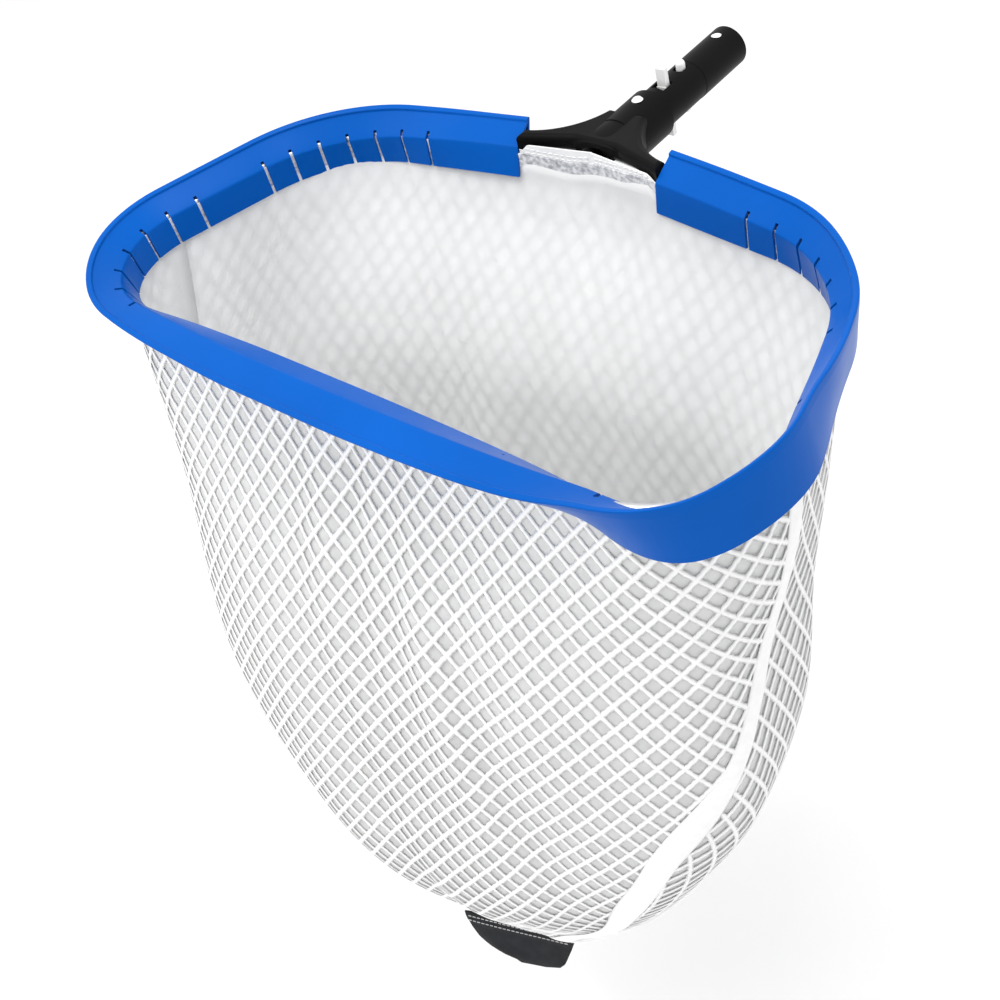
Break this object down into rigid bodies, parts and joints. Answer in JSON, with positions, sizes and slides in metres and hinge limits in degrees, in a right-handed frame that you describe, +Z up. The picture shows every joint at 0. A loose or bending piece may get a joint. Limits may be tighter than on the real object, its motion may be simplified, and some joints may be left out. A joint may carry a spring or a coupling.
{
  "type": "pool leaf skimmer net",
  "caption": "Deep fine-mesh skimmer bag on a D-shaped hoop with slotted plastic edging, moulded yoke and a pole spigot with a spring lock clip.",
  "frame": {"origin": "centre of the spigot's open end, on the spigot's axis", "axes": "+Y out along the spigot towards the pole, +X right across the hoop, +Z up, away from the bag"},
  "size_m": [0.5178, 0.4783, 0.6465],
  "materials": {
    "hoop_metal": "mill finish tube",
    "edging_plastic": "glossy blue moulded edging",
    "yoke_plastic": "black satin moulding",
    "tube_plastic": "black satin tube",
    "clip_nylon": "white nylon",
    "hem_tape": "white woven tape",
    "facing_tape": "light grey mottled tape",
    "white_thread": "white thread",
    "grey_thread": "light grey thread",
    "net_cord": "white reinforcing net",
    "liner_mesh": "white ultra-fine mesh",
    "tab_webbing": "charcoal webbing"
  },
  "bodies": {
    "net": {"frame_hoop": "hoop_metal", "edging": "edging_plastic", "yoke": "yoke_plastic", "handle_tube": "tube_plastic", "socket_pin": "clip_nylon", "nose_rivet": "clip_nylon", "clip_bend": "clip_nylon", "bag_hem": "hem_tape", "hem_facing": "facing_tape", "hem_stitching": "white_thread", "bag_net_front": "net_cord", "bag_net_back": "net_cord", "bag_liner_front": "liner_mesh", "bag_liner_back": "liner_mesh", "seam_binding_left": "hem_tape", "seam_binding_right": "hem_tape"},
    "clip_upper": {"clip_leg_upper": "clip_nylon"},
    "clip_lower": {"clip_leg_lower": "clip_nylon"},
    "tab": {"pull_tab": "tab_webbing", "tab_stitching": "grey_thread"}
  },
  "joints": [
    {"name": "clip_upper_flex", "type": "hinge", "parent": "net", "child": "clip_upper", "pos_m": [0, -0.02, 0.0022], "axis": [1, 0, 0], "range_deg": [0, 8.5], "stiffness_Nm_per_rad": 2, "springref_deg": -5.73},
    {"name": "clip_lower_flex", "type": "hinge", "parent": "net", "child": "clip_lower", "pos_m": [0, -0.02, -0.0022], "axis": [-1, 0, 0], "range_deg": [0, 8.5], "stiffness_Nm_per_rad": 2, "springref_deg": -5.73},
    {"name": "tab_swing", "type": "hinge", "parent": "net", "child": "tab", "pos_m": [-0.012, -0.423, -0.5835], "axis": [0.9455, 0.3256, 0], "range_deg": [-60, 20]}
  ]
}
